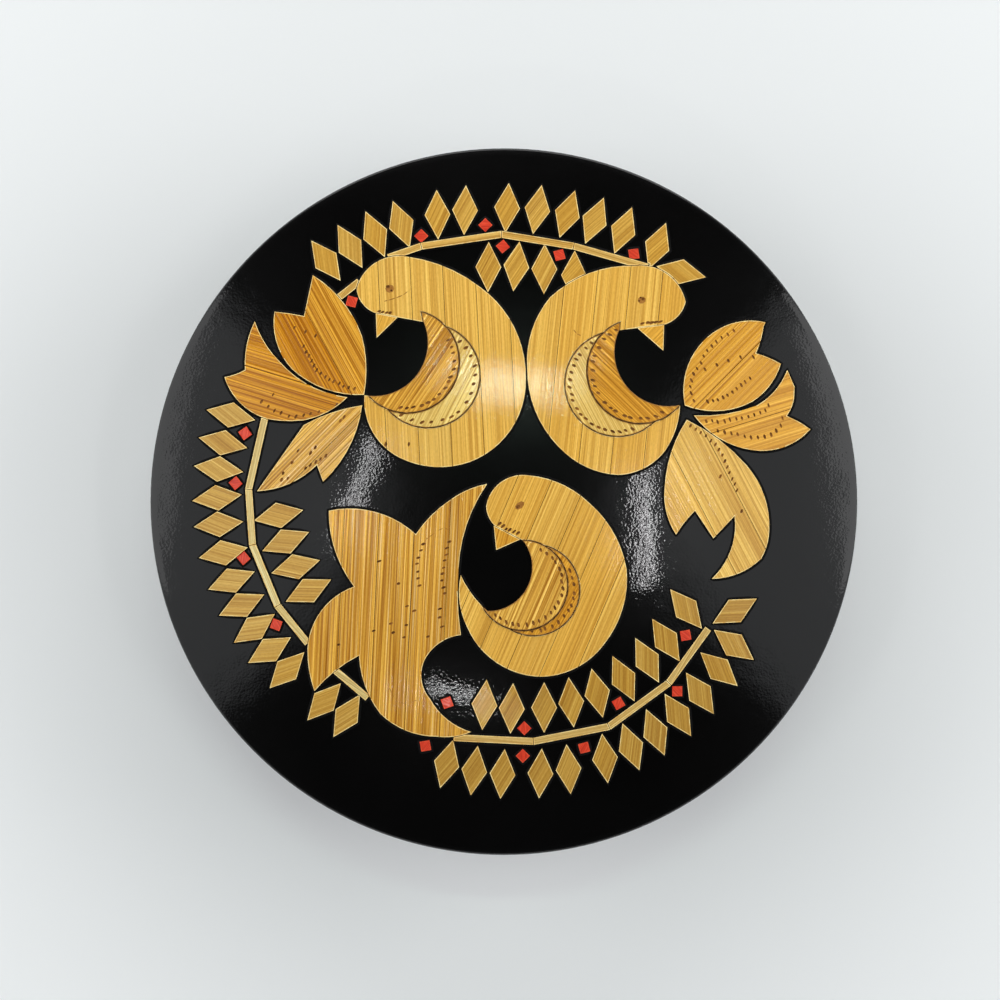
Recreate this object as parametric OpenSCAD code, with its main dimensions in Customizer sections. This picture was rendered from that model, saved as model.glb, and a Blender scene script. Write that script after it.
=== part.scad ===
// Round turned wooden trinket box, black lacquer, with a domed lift-off lid.
// Birds, tails and leaf garlands of split straw are glued on the dome.
// Millimetres, +Z up. The origin is the middle of the foot, on the table.

/* [Box] */
// Diameter of the lid at its rim
lid_d = 150; // [120:1:190]
// Height from the table to the seam between body and lid
seam_h = 38; // [32:0.5:60]
// How far the lid stands out past the body all round
overhang = 1; // [0.5:0.1:3]
// Wall of the body
wall = 6.5; // [5:0.5:9]
// Floor of the body
floor_t = 6; // [4:0.5:9]
// Radius where the side turns into the bottom
bottom_round = 16; // [8:1:22]
// Radius at the bottom of the well
well_round = 9; // [4:0.5:14]

/* [Foot] */
// Height of the turned foot ring
foot_h = 2.5; // [1.5:0.5:6]
// Width of the foot ring
foot_w = 6; // [3:0.5:12]
// Flat step between the foot ring and the rounded side
foot_step = 2; // [1:0.5:6]

/* [Lid] */
// Height of the lid's straight side
skirt_h = 13; // [11:0.5:24]
// Rise of the dome from the rim to the middle
dome_rise = 11; // [6:0.5:18]
// Wood left in the dome
dome_t = 5; // [3.5:0.5:8]
// Ledge in the lid above the body's lip
ledge_w = 4.5; // [2:0.5:8]
// Height of the body's lip inside the lid
lip_h = 6; // [4:0.5:9]
// Play all round between the lip and the lid
lid_play = 0.3; // [0.2:0.05:0.6]
// Round on the lid's upper rim
rim_round = 0.6; // [0.3:0.1:1.2]
// Round on the other turned edges
edge_round = 0.8; // [0.4:0.1:1.4]

/* [Straw] */
// Plain black border between the straw pattern and the rim
border = 10; // [6:0.5:20]
// Thickness of a straw sheet
straw_t = 0.4; // [0.3:0.05:0.8]
// Extra thickness of a lower wing over the sheet
lower_wing_step = 0.12; // [0.05:0.01:0.3]
// Extra thickness of an upper wing over a lower wing
upper_wing_step = 0.12; // [0.05:0.01:0.3]
// Extra thickness of stems and red squares, which are split thicker
stem_step = 0.1; // [0.05:0.01:0.3]
// Bed of glue and lacquer under the straw
glue_bed = 0.08; // [0.06:0.01:0.2]
// Width of the knife cut between neighbouring pieces
knife_gap = 0.14; // [0.1:0.02:0.4]
// Length of a lozenge leaf, as drawn
leaf_l = 10.7; // [8:0.1:12]
// Width of a lozenge leaf, as drawn
leaf_w = 5.4; // [4:0.1:6.2]
// Width of a stem strip, as drawn
stem_w = 1.45; // [1:0.05:2.4]
// Side of a red square, as drawn
red_w = 2.1; // [1.4:0.1:2.6]
// Width of a bird's eye, as drawn
eye_d = 1.3; // [0.8:0.1:2]

/* [Hidden] */

$fn = 96;
// A dome is a small cap of a large ball, so the ball is cut finely
ball_fn = 240;
// Turn of the pattern's curves from one drawn point to the next
curve_step = 6;

lid_r = lid_d / 2;
body_r = lid_r - overhang;
lip_r = body_r - wall / 2;
well_r = body_r - wall;
foot_r = body_r - bottom_round - foot_step;
well_floor = foot_h + floor_t;
lip_top = seam_h + lip_h;
seat_top = lip_top + lid_play;
hollow_r = lip_r - ledge_w;
rim_h = seam_h + skirt_h;
dome_r = (lid_r * lid_r + dome_rise * dome_rise) / (2 * dome_rise);
dome_centre = rim_h + dome_rise - dome_r;
top_h = rim_h + dome_rise;

// The pattern is drawn for a lid of 150 with a border of 10 and is fitted to this lid
drawn_d = 130;
pattern_scale = (lid_d - 2 * border) / drawn_d;
gap = knife_gap / pattern_scale;

lower_wing_t = straw_t + lower_wing_step;
upper_wing_t = lower_wing_t + upper_wing_step;
stem_t = straw_t + stem_step;

// Every outline runs anticlockwise. A corner is [x, y, bow], and bow is how far
// the edge to the next corner curves outwards, below zero where it is hollow.
// A wing circle is [x, y, radius], upper wing first. A neck line runs with the head on its
// right. Grain is [direction of the straw, place of a seam across it, width of a ribbon].
left_bird = [
    [-29.2, 22.3, 2.3], [-21.8, 9.2, 1.5], [-7.1, 8.3, 3.3], [4.6, 25.5, 2.7], [-5, 45.1, 1.1],
    [-20.4, 51.6, 2.5], [-31, 44.9, 1], [-26.9, 39.6, 0], [-16.8, 37.7, -5.9]
];
left_wing = [[-20.2, 29.4, 10.8], [-15.9, 26.4, 10.9]];
left_neck = [[-17.6, 41.5], [-16.8, 37.2]];
left_beak = [[-26.9, 39.6, 0], [-26.7, 34.4, 0], [-22.3, 38.7, 0]];
left_eye = [-24, 44.8];
left_grain = [93, 3.5, 6.8];

right_bird = [
    [37, 20.3, -6.3], [24.2, 36, 0], [33.7, 37.2, 0.9], [38.3, 42.1, 2.6], [27.6, 49.7, 1.9],
    [9.7, 42.9, 1.5], [4.9, 28, 2.2], [13, 10, 1], [23.9, 5.6, 1.3], [33.9, 10.8, 0.7]
];
right_wing = [[28.5, 27.4, 11], [23.8, 24.7, 11]];
right_neck = [[24.2, 35.4], [24.6, 40]];
right_beak = [[28, 36.5, 0], [33.5, 31.7, 0], [33.7, 37.2, 0]];
right_eye = [29, 42.4];
right_grain = [84, -1.1, 6.8];

low_bird = [
    [-9, -15.4, 0.9], [-7.8, -26, 2.9], [8, -36.7, 1.7], [21, -29.9, 1.6], [25.7, -14.1, 1.4],
    [17.8, -0.2, 1.2], [5.1, 5.5, 2.3], [-3.7, -1.1, 0.4], [-1.9, -5, 0], [4, -8.1, -5.2],
    [-3.4, -22.9, -0.5]
];
low_wing = [[3.9, -17.5, 9.4], [6.3, -18.5, 9.5]];
low_neck = [[5.6, -5], [3.9, -8.4]];
low_beak = [[-2.1, -5, 0], [-1.6, -10.1, 0], [3.4, -7.9, 0]];
low_eye = [3.3, -0.8];
low_grain = [67, -0.7, 6.8];

left_top_petal = [
    [-29.3, 22.4, 0.7], [-29.8, 34.8, 1.4], [-40.3, 47.8, 0], [-42.1, 39.1, 0.1],
    [-48.4, 40.1, 1.5], [-44.5, 27.8, 1.6]
];
left_top_grain = [119, 17, 12];
left_middle_petal = [
    [-32.8, 21.9, -1.5], [-47.2, 29.5, -0.6], [-52.6, 38.1, 0.7], [-54.6, 27.8, -0.2],
    [-59, 26.3, 1.6], [-49.8, 17.4, 0.3], [-42, 17.1, 0.8]
];
left_middle_grain = [163, -11.5, 12];
left_low_petal = [
    [-29.7, 20.2, 0.6], [-42, 16.1, -0.2], [-51.9, 2.2, 1.3], [-39.2, 7.7, 0], [-37.9, 4.2, 1.6]
];
left_low_grain = [45, 34.3, 12];
right_top_petal = [
    [38, 20.2, 1.6], [52.4, 21.1, 0.9], [58.5, 29.1, 0.2], [53.2, 31.3, 0.3], [55, 38, 1.8],
    [41.8, 33.6, 1.7]
];
right_top_grain = [45, -14.4, 12];
right_middle_petal = [
    [39.9, 18.1, 1.8], [54, 10.7, 1.3], [64.9, 15.4, 0.1], [59.7, 18.1, 1.6], [59.9, 27.9, -0.9],
    [53.2, 20.2, -0.7]
];
right_middle_grain = [17, 1, 12];
right_low_petal = [
    [38.4, 17.2, 1], [33.7, 3, 0.9], [36.1, -6.9, -0.2], [40.1, -1.9, 0], [44, -7.7, 0],
    [48.5, -3, -1.7], [43.7, -16.2, 1.1], [54.2, -12, 0.4], [55.9, -6, 1.4], [51.1, 7.6, 0.8]
];
right_low_grain = [118, -36, 8];
low_tail = [
    [-3.5, 3.7, 0.5], [-11.3, 0.3, 0.5], [-18.4, -6.8, 2.3], [-36.7, -1.9, 1.4], [-31.4, -17.8, 2.5],
    [-41.3, -31, 0.4], [-39.9, -39.9, -0.6], [-30.4, -32.3, 1], [-26, -44.6, 1.3], [-14, -49.4, 0.5],
    [-6.9, -48.4, -1.1], [-15.5, -41.4, -1.4], [-16.3, -32.6, -1], [-9, -27.9, -0.4], [-9.5, -14, -1.3]
];
low_tail_grain = [87, 3.6, 7.4];

// Stems are straight strips laid end to end through these points
top_stem_runs = [
    [[-35, 42.8], [-30.4, 46.4]],
    [[-24.4, 51.4], [-17.4, 53.8], [-0.5, 56.3], [14.7, 53.8], [30.4, 49.4]]
];
left_stem_runs = [
    [[-50.3, 17.6], [-53.7, 2.6], [-52.9, -9.1], [-47.6, -21.9], [-41.2, -29.8]],
    [[-35.5, -35.4], [-28.6, -41.3]]
];
bottom_stem_runs = [
    [[-10.6, -49.6], [6.2, -50.4], [22.1, -47.3], [34.7, -38.1], [43, -26.7]]
];

// A leaf row is [centre, radius, middle angle, spacing, places, directions]. In places an l is
// a leaf, a comma a little room, a dot the room for a red square and a dash a leaf left out.
// Directions say how each leaf was laid by hand, in degrees.
little_room = 0.5;
red_room = 2;
left_out_room = 4.7;
top_outer_row = [
    [0, -7], 69, 92.5, 0.5, "l.l,ll,l,l.,,ll.llll",
    [69, 69, 68, 72, 80, 86, 88, 92, 110, 113, 120, 126]
];
top_inner_row = [[1, 0], 49.5, 84.4, 0.5, "l,lll", [88, 89, 83, 89]];
left_outer_row = [
    [-8, 1], 52.5, 201.1, 0.2, "l,ll,ll,l,lllll-ll",
    [168, 168, 173, 7, 6, 12, 21, 25, 35, 31, 46, 48, 58]
];
left_inner_row = [[3, 8], 51.5, 201.7, 0.3, "llll", [12, 22, 15, 26]];
bottom_outer_row = [
    [3, -6], 51.5, 292.5, 0.6, "lll.ll.llll,l,ll",
    [75, 82, 85, 87, 95, 97, 110, 112, 122, 124, 138, 143]
];
bottom_inner_row = [
    [4, -5], 38.5, 295.4, 0.4, "ll,,lll,l,ll.l",
    [85, 87, 90, 96, 103, 116, 118, 123, 129]
];
// The last leaf at the end of a garland is [x, y, direction]
top_end_leaf = [37.4, 48.5, -12];
bottom_end_leaf = [48.6, -23, 29];

// Red squares are [x, y, turn]
top_reds = [
    [-3.9, 58.3, 45], [-17.4, 56, 45], [-0.2, 53.7, 40], [27.4, 52.2, 8], [11.7, 51.9, 15],
    [-32, 42.1, 75]
];
left_reds = [[-54.5, 14.4, 35], [-56.5, 3.9, 40], [-54.8, -11.9, 40], [-47.9, -25.9, 70]];
bottom_reds = [
    [38.2, -28.1, 10], [36.5, -39.9, 0], [-11.9, -42.2, 20], [24.1, -42.4, 30], [4.3, -47.6, 45],
    [-16.5, -51.4, 10], [16.9, -51.8, 15], [4, -53.5, 45]
];

function unit(v) = v / norm(v);

// Points along the bowed edge from one corner to the next, without the last
function edge_points(a, b) =
    let (
        start = [a.x, a.y],
        chord = [b.x, b.y] - start,
        bow = a.z,
        half_turn = 2 * atan(2 * abs(bow) / norm(chord)),
        steps = max(1, ceil(2 * half_turn / curve_step)),
        radius = bow == 0 ? 0 : norm(chord) / (2 * sin(half_turn)),
        outwards = unit([chord.y, -chord.x]),
        centre = start + chord / 2 + outwards * (bow - sign(bow) * radius),
        first = atan2(start.y - centre.y, start.x - centre.x)
    )
    bow == 0 ? [start] : [
        for (i = [0:steps - 1])
            let (turn = first + sign(bow) * 2 * half_turn * i / steps)
            centre + radius * [cos(turn), sin(turn)]
    ];

function outline(corners) = [
    for (i = [0:len(corners) - 1]) each edge_points(corners[i], corners[(i + 1) % len(corners)])
];

// An outline moved outwards all round
function grown(points, by) =
    let (n = len(points))
    [
        for (i = [0:n - 1])
            let (
                before = unit(points[i] - points[(i + n - 1) % n]),
                after = unit(points[(i + 1) % n] - points[i]),
                outwards = unit([before.y + after.y, -before.x - after.x])
            )
            points[i] + by * outwards
    ];

module shape(corners) {
    polygon(outline(corners));
}

// Room that a piece takes from its neighbours, with the knife cut round it
module room(corners) {
    polygon(grown(outline(corners), gap));
}

// The head's side of a bird's neck line, moved towards the head
module head_side(neck, moved = 0) {
    reach = drawn_d / 8;
    along = unit(neck[1] - neck[0]);
    across = [along.y, -along.x];
    translate(across * moved)
        polygon([neck[0], neck[0] + across * reach, neck[1] + across * reach, neck[1]]);
}

module disc(circle_at, more = 0) {
    translate([circle_at.x, circle_at.y]) circle(circle_at.z + more);
}

// Straw ribbons side by side, with a knife cut between them
module ribbons(grain) {
    width = grain[2];
    count = ceil(drawn_d / 2 / width);
    rotate(grain[0])
        for (i = [-count:count])
            translate([-drawn_d / 2, i * width + grain[1] + gap / 2]) square([drawn_d, width - gap]);
}

// A flat straw shape laid on the dome
module on_dome(thickness) {
    intersection() {
        translate([0, 0, rim_h])
            linear_extrude(dome_rise + 2 * (glue_bed + thickness)) scale(pattern_scale) children();
        difference() {
            dome_ball(glue_bed + thickness);
            dome_ball(glue_bed);
        }
    }
}

module dome_ball(lift) {
    translate([0, 0, dome_centre]) rotate([90, 0, 0]) sphere(dome_r + lift, $fn = ball_fn);
}

// Rectangle from the axis outwards whose outer corners are rounded where a radius is given
module turned_block(radius, low, high, low_round, high_round) {
    difference() {
        translate([0, low]) square([radius, high - low]);
        if (low_round > 0) corner_waste(radius, low, low_round, 1);
        if (high_round > 0) corner_waste(radius, high, high_round, -1);
    }
}

module corner_waste(radius, level, round, up) {
    difference() {
        translate([radius - round, min(level, level + up * round)]) square(round);
        translate([radius - round, level + up * round]) circle(round);
    }
}

module body_profile() {
    difference() {
        union() {
            turned_block(body_r, foot_h, seam_h, bottom_round, edge_round);
            turned_block(lip_r, seam_h - wall, lip_top, 0, edge_round);
            turned_block(foot_r, 0, foot_h + edge_round, edge_round, 0);
        }
        turned_block(well_r, well_floor, lip_top + edge_round, well_round, 0);
        turned_block(foot_r - foot_w, -edge_round, foot_h, 0, edge_round);
    }
}

module box_body() {
    color("#17130f") rotate_extrude() body_profile();
}

module lid_profile() {
    round_h = dome_centre + sqrt(pow(dome_r - rim_round, 2) - pow(lid_r - rim_round, 2));
    round_from = (lid_r - rim_round) * dome_r / (dome_r - rim_round);
    difference() {
        intersection() {
            turned_block(lid_r, seam_h, top_h, edge_round, 0);
            translate([0, dome_centre]) circle(dome_r, $fn = ball_fn);
        }
        difference() {
            translate([round_from, round_h]) square(2 * rim_round);
            translate([lid_r - rim_round, round_h]) circle(rim_round);
        }
        turned_block(lip_r + lid_play, seam_h - edge_round, seat_top, 0, 0);
        intersection() {
            turned_block(hollow_r, seam_h, top_h, 0, 0);
            translate([0, dome_centre]) circle(dome_r - dome_t, $fn = ball_fn);
        }
    }
}

module lid() {
    color("#120f0d") rotate_extrude() lid_profile();
}

// Bird: a sheet of ribbons with the eye pierced and room cut for its wings and beak
module bird_body(bird, wing, neck, beak, eye, grain) {
    color("#d9a648") on_dome(straw_t)
        difference() {
            intersection() {
                shape(bird);
                ribbons(grain);
            }
            disc(wing[1], gap);
            difference() {
                disc(wing[0], gap);
                head_side(neck, gap);
            }
            room(beak);
            translate(eye) circle(d = eye_d);
        }
}

module bird_upper_wing(bird, wing, neck) {
    color("#cf9138") on_dome(upper_wing_t)
        difference() {
            intersection() {
                shape(bird);
                disc(wing[0]);
            }
            head_side(neck);
        }
}

module bird_lower_wing(wing) {
    color("#dcb252") on_dome(lower_wing_t)
        difference() {
            disc(wing[1]);
            disc(wing[0], gap);
        }
}

module bird_beak(beak) {
    color("#c98f34") on_dome(straw_t) shape(beak);
}

// A tail petal of ribbons, cut back where it meets the pieces given as children
module petal(corners, grain) {
    color("#c07f2c") on_dome(straw_t)
        difference() {
            intersection() {
                shape(corners);
                ribbons(grain);
            }
            children();
        }
}

function left_of(v) = [-v.y, v.x];

// Across a run of strips at point i, along the mitre of the joint there
function mitre(run, i) =
    let (
        from = max(i, 1),
        to = min(i, len(run) - 2),
        before = left_of(unit(run[from] - run[from - 1])),
        after = left_of(unit(run[to + 1] - run[to])),
        across = unit(before + after)
    )
    across / (across * before);

// Strip i of a run, with its ends pulled back from the joints
module strip(run, i, width, back) {
    along = unit(run[i + 1] - run[i]);
    start = run[i] + along * back;
    end = run[i + 1] - along * back;
    start_side = mitre(run, i) * width / 2;
    end_side = mitre(run, i + 1) * width / 2;
    polygon([start - start_side, end - end_side, end + end_side, start + start_side]);
}

module strips(runs, width, back) {
    for (run = runs)
        for (i = [0:len(run) - 2]) strip(run, i, width, back);
}

module stem_room(runs) {
    strips(runs, stem_w + 2 * gap, -gap);
}

module stem(runs) {
    color("#d8b469") on_dome(stem_t)
        difference() {
            strips(runs, stem_w, gap / 2);
            children();
        }
}

module leaf(direction) {
    rotate(direction)
        polygon([[leaf_l / 2, 0], [0, leaf_w / 2], [-leaf_l / 2, 0], [0, -leaf_w / 2]]);
}

// Length along the row that a place takes
function place_length(row, place) =
    place == "l" ? leaf_w + row[3] :
    place == "," ? little_room :
    place == "." ? red_room : left_out_room;
// Distance from the start of the row to the middle of place i
function place_at(row, i) =
    i == 0 ? place_length(row, row[4][0]) / 2
           : place_at(row, i - 1) + (place_length(row, row[4][i - 1]) + place_length(row, row[4][i])) / 2;
function row_length(row) =
    let (last = len(row[4]) - 1)
    place_at(row, last) + place_length(row, row[4][last]) / 2;
function leaves_before(row, i) = len([for (k = [0:1:i - 1]) if (row[4][k] == "l") k]);

module leaf_row(row) {
    for (i = [0:len(row[4]) - 1])
        if (row[4][i] == "l") {
            turn = row[2] + (place_at(row, i) - row_length(row) / 2) / row[1] * 180 / PI;
            translate(row[0] + row[1] * [cos(turn), sin(turn)]) leaf(row[5][leaves_before(row, i)]);
        }
}

module end_leaf(at) {
    translate([at.x, at.y]) leaf(at.z);
}

// Leaves, given first, are cut back where they meet the pieces given after them
module leaves() {
    color("#d5a64c") on_dome(straw_t)
        difference() {
            children(0);
            if ($children > 1) children([1:$children - 1]);
        }
}

module red_shape(reds, more = 0) {
    for (red = reds)
        translate([red.x, red.y]) rotate(red.z) square(red_w + more, center = true);
}

module red_squares(reds) {
    color("#d8301f") on_dome(stem_t)
        difference() {
            red_shape(reds);
            children();
        }
}

module left_bird_body() {
    bird_body(left_bird, left_wing, left_neck, left_beak, left_eye, left_grain);
}
module left_bird_upper_wing() {
    bird_upper_wing(left_bird, left_wing, left_neck);
}
module left_bird_lower_wing() {
    bird_lower_wing(left_wing);
}
module left_bird_beak() {
    bird_beak(left_beak);
}

module right_bird_body() {
    bird_body(right_bird, right_wing, right_neck, right_beak, right_eye, right_grain);
}
module right_bird_upper_wing() {
    bird_upper_wing(right_bird, right_wing, right_neck);
}
module right_bird_lower_wing() {
    bird_lower_wing(right_wing);
}
module right_bird_beak() {
    bird_beak(right_beak);
}

module low_bird_body() {
    bird_body(low_bird, low_wing, low_neck, low_beak, low_eye, low_grain);
}
module low_bird_upper_wing() {
    bird_upper_wing(low_bird, low_wing, low_neck);
}
module low_bird_lower_wing() {
    bird_lower_wing(low_wing);
}
module low_bird_beak() {
    bird_beak(low_beak);
}

module left_tail_top_petal() {
    petal(left_top_petal, left_top_grain) room(left_bird);
}
module left_tail_middle_petal() {
    petal(left_middle_petal, left_middle_grain) {
        room(left_top_petal);
        room(left_low_petal);
    }
}
module left_tail_low_petal() {
    petal(left_low_petal, left_low_grain) {
        room(left_bird);
        room(left_top_petal);
    }
}
module right_tail_top_petal() {
    petal(right_top_petal, right_top_grain) room(right_bird);
}
module right_tail_middle_petal() {
    petal(right_middle_petal, right_middle_grain) {
        room(right_top_petal);
        room(right_low_petal);
    }
}
module right_tail_low_petal() {
    petal(right_low_petal, right_low_grain) {
        room(right_bird);
        room(right_top_petal);
    }
}
module low_bird_tail() {
    petal(low_tail, low_tail_grain) room(low_bird);
}

module top_stem() {
    stem(top_stem_runs) {
        room(left_bird);
        room(right_bird);
        room(left_top_petal);
    }
}
module left_stem() {
    stem(left_stem_runs) {
        room(left_middle_petal);
        room(low_tail);
    }
}
module bottom_stem() {
    stem(bottom_stem_runs) room(low_tail);
}

module top_outer_leaves() {
    leaves() {
        union() {
            leaf_row(top_outer_row);
            end_leaf(top_end_leaf);
        }
        room(right_bird);
        room(left_top_petal);
        stem_room(top_stem_runs);
        red_shape(top_reds, 2 * gap);
    }
}
module top_inner_leaves() {
    leaves() {
        leaf_row(top_inner_row);
        room(left_bird);
        room(right_bird);
        stem_room(top_stem_runs);
        red_shape(top_reds, 2 * gap);
    }
}
module left_outer_leaves() {
    leaves() {
        leaf_row(left_outer_row);
        room(left_middle_petal);
        room(low_tail);
        stem_room(left_stem_runs);
        red_shape(left_reds, 2 * gap);
    }
}
module left_inner_leaves() {
    leaves() {
        leaf_row(left_inner_row);
        room(low_tail);
        stem_room(left_stem_runs);
    }
}
module bottom_outer_leaves() {
    leaves() {
        union() {
            leaf_row(bottom_outer_row);
            end_leaf(bottom_end_leaf);
        }
        stem_room(bottom_stem_runs);
        red_shape(bottom_reds, 2 * gap);
    }
}
module bottom_inner_leaves() {
    leaves() {
        leaf_row(bottom_inner_row);
        room(low_tail);
        stem_room(bottom_stem_runs);
        red_shape(bottom_reds, 2 * gap);
    }
}

module top_red_squares() {
    red_squares(top_reds) stem_room(top_stem_runs);
}
module left_red_squares() {
    red_squares(left_reds) stem_room(left_stem_runs);
}
module bottom_red_squares() {
    red_squares(bottom_reds) stem_room(bottom_stem_runs);
}

box_body();
lid();
left_bird_body();
left_bird_upper_wing();
left_bird_lower_wing();
left_bird_beak();
right_bird_body();
right_bird_upper_wing();
right_bird_lower_wing();
right_bird_beak();
low_bird_body();
low_bird_upper_wing();
low_bird_lower_wing();
low_bird_beak();
left_tail_top_petal();
left_tail_middle_petal();
left_tail_low_petal();
right_tail_top_petal();
right_tail_middle_petal();
right_tail_low_petal();
low_bird_tail();
top_stem();
left_stem();
bottom_stem();
top_outer_leaves();
top_inner_leaves();
left_outer_leaves();
left_inner_leaves();
bottom_outer_leaves();
bottom_inner_leaves();
top_red_squares();
left_red_squares();
bottom_red_squares();
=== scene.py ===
"""A round black lacquered box whose domed lid is laid with birds, tails and garlands of split straw."""
import math
import random

import bmesh
import bpy
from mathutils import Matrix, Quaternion, Vector


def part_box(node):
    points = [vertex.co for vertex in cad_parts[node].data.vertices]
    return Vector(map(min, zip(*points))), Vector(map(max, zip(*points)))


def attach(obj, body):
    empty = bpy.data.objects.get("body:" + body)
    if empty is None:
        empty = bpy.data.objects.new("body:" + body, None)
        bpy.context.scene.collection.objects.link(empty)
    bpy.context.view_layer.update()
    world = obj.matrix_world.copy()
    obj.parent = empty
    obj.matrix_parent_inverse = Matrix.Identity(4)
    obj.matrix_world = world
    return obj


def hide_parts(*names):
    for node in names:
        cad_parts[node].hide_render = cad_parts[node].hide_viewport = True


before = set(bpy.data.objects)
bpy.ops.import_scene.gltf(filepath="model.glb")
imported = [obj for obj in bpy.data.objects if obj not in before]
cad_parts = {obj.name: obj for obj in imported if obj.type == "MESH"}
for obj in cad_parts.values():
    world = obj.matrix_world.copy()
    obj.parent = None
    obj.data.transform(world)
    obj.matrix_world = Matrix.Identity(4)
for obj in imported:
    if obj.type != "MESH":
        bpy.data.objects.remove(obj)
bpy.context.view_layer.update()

MM = 0.001
lid_low, lid_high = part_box("lid")
_, body_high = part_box("box_body")

# Turned sizes, in metres; the outer ones come from the frame
LID_RADIUS = lid_high.x
BODY_RADIUS = body_high.x
SEAM_HEIGHT = lid_low.z
LIP_TOP = body_high.z
TOP_HEIGHT = lid_high.z
SKIRT_HEIGHT = 13 * MM
RIM_HEIGHT = SEAM_HEIGHT + SKIRT_HEIGHT
DOME_RISE = TOP_HEIGHT - RIM_HEIGHT
DOME_RADIUS = (LID_RADIUS ** 2 + DOME_RISE ** 2) / (2 * DOME_RISE)
DOME_CENTRE = TOP_HEIGHT - DOME_RADIUS
DOME_WOOD = 5 * MM
WALL = 6.5 * MM
LIP_RADIUS = BODY_RADIUS - WALL / 2
WELL_RADIUS = BODY_RADIUS - WALL
WELL_FLOOR = 8.5 * MM
WELL_ROUND = 9 * MM
BOTTOM_ROUND = 16 * MM
FOOT_HEIGHT = 2.5 * MM
FOOT_WIDTH = 6 * MM
FOOT_INSET = 2 * MM
FOOT_RADIUS = BODY_RADIUS - BOTTOM_ROUND - FOOT_INSET
LID_PLAY = 0.3 * MM
SEAT_TOP = LIP_TOP + LID_PLAY
SEAT_WIDTH = 4.5 * MM
HOLLOW_RADIUS = LIP_RADIUS - SEAT_WIDTH
EDGE_ROUND = 0.8 * MM
RIM_ROUND = 0.6 * MM
TURN_STEPS = 192
TURNING_SMOOTH = math.radians(40)

# Straw heights over the dome, in metres
SHEET_TOP = 0.48 * MM
LOWER_WING_TOP = 0.6 * MM
UPPER_WING_TOP = 0.72 * MM
STEM_TOP = 0.58 * MM
SUNK = 0.05 * MM
BURN_DEPTH = 0.22 * MM
SCRATCH_DEPTH = 0.08 * MM
EYE_DEPTH = 0.12 * MM
BEAD_TOP = 0.3 * MM
BEAD_WIDTH = 0.55 * MM

# The knife's cut: the rim it leaves, how far the rim stands over the straw and how far seams are closed
RIM_WIDTH = 0.15 * MM
UNDER_RIM = 0.004 * MM
SEAM_CLOSE = 0.018 * MM
KNIFE_ABOVE = 3 * MM
KNIFE_BELOW = 1 * MM

# The sheet that a piece is cut from: its spare width, its height before it is laid and its rows
BLANK_SPARE = 1 * MM
BLANK_ABOVE = 5 * MM
BLANK_STEP = 1.6 * MM
BLANK_LEAST_ALONG = 3
BLANK_LEAST_ACROSS = 6
RIB_LENGTH = 90 * MM
STRAW_SMOOTH = math.radians(38)

# How far the tones of a piece's parts stray, and how far their grain and ribs are shifted by chance
TONE_STRAY = 0.07
GRAIN_SHIFT = 200
RIB_SHIFT = 20

# Corners closer than this are one, and a face whose normal rises more than this lies flat
CLOSE = 0.001 * MM
LIES_FLAT = 0.7

# A ribbon's square end and the wall of a seam turn from their direction by no more than these cosines,
# and the edge of a seam by no more than this sine
SQUARE_END = 0.999
SEAM_WALL = 0.9998
SEAM_EDGE = 0.02

# Places of the straw's materials in its slots, after that of its face
# The side slot holds the cut edge's colour: a painted pale highlight, and painted shade round the wings
SIDE, BURN, SCORCH = 1, 2, 3

# Ends of straw that the solids leave square: the straw's direction in degrees and, in millimetres, the
# places of the two corners that its end is drawn out to, which are one where it is pointed
TIPS = {
    "right_tail_top_petal": [(45, (55.3, 37.9), (55.3, 37.9))],
    "right_tail_middle_petal": [(17, (64.8, 15.3), (64.8, 15.3)), (17, (59.9, 27.8), (61.4, 24.3))],
}
TIP_REACH = 4 * MM

# Colours of straw from the darkest tone to the palest, and the one that leaves a colour as it is
STRAW_TONES = [(0.0, (0.66, 0.27, 0.012)), (0.35, (0.78, 0.4, 0.048)), (0.65, (0.8, 0.465, 0.085)),
               (1.0, (0.9, 0.67, 0.2))]
WHITE = (1, 1, 1)

random.seed(7)


def deselect_all():
    bpy.ops.object.select_all(action="DESELECT")


def make_active(piece):
    deselect_all()
    piece.select_set(True)
    bpy.context.view_layer.objects.active = piece


def edit(piece):
    make_active(piece)
    bpy.ops.object.mode_set(mode="EDIT")


def leave_edit():
    bpy.ops.object.mode_set(mode="OBJECT")


def apply_modifier(piece, kind, **settings):
    make_active(piece)
    modifier = piece.modifiers.new(kind, kind)
    for name, value in settings.items():
        setattr(modifier, name, value)
    bpy.ops.object.modifier_apply(modifier=modifier.name)


def select(kind, piece, wanted):
    """In edit mode, selects just the faces, edges or corners that are wanted."""
    bpy.ops.mesh.select_mode(type=kind)
    bpy.ops.mesh.select_all(action="DESELECT")
    mesh = bmesh.from_edit_mesh(piece.data)
    for element in {"FACE": mesh.faces, "EDGE": mesh.edges, "VERT": mesh.verts}[kind]:
        element.select_set(wanted(element))
    bmesh.update_edit_mesh(piece.data)


def stretch(piece, size):
    """Scales a piece along its own axes, for good."""
    piece.scale = size
    bpy.ops.object.transform_apply(location=True, rotation=True, scale=True)


def joined(pieces):
    """Joins pieces into the first of them."""
    make_active(pieces[0])
    for piece in pieces:
        piece.select_set(True)
    bpy.ops.object.join()
    return pieces[0]


def remove(piece):
    mesh = piece.data
    bpy.data.objects.remove(piece)
    bpy.data.meshes.remove(mesh)


# Turning

def arc(centre_r, centre_z, radius, start, end, count):
    """Points of (radius, height) along an arc, its ends included."""
    points = []
    for i in range(count + 1):
        turn = math.radians(start + (end - start) * i / count)
        points.append((centre_r + radius * math.cos(turn), centre_z + radius * math.sin(turn)))
    return points


def rows(start, end, count):
    """Points between two places, the first included, so that long stretches have rings."""
    return [tuple(a + (b - a) * i / count for a, b in zip(start, end)) for i in range(count)]


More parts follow.
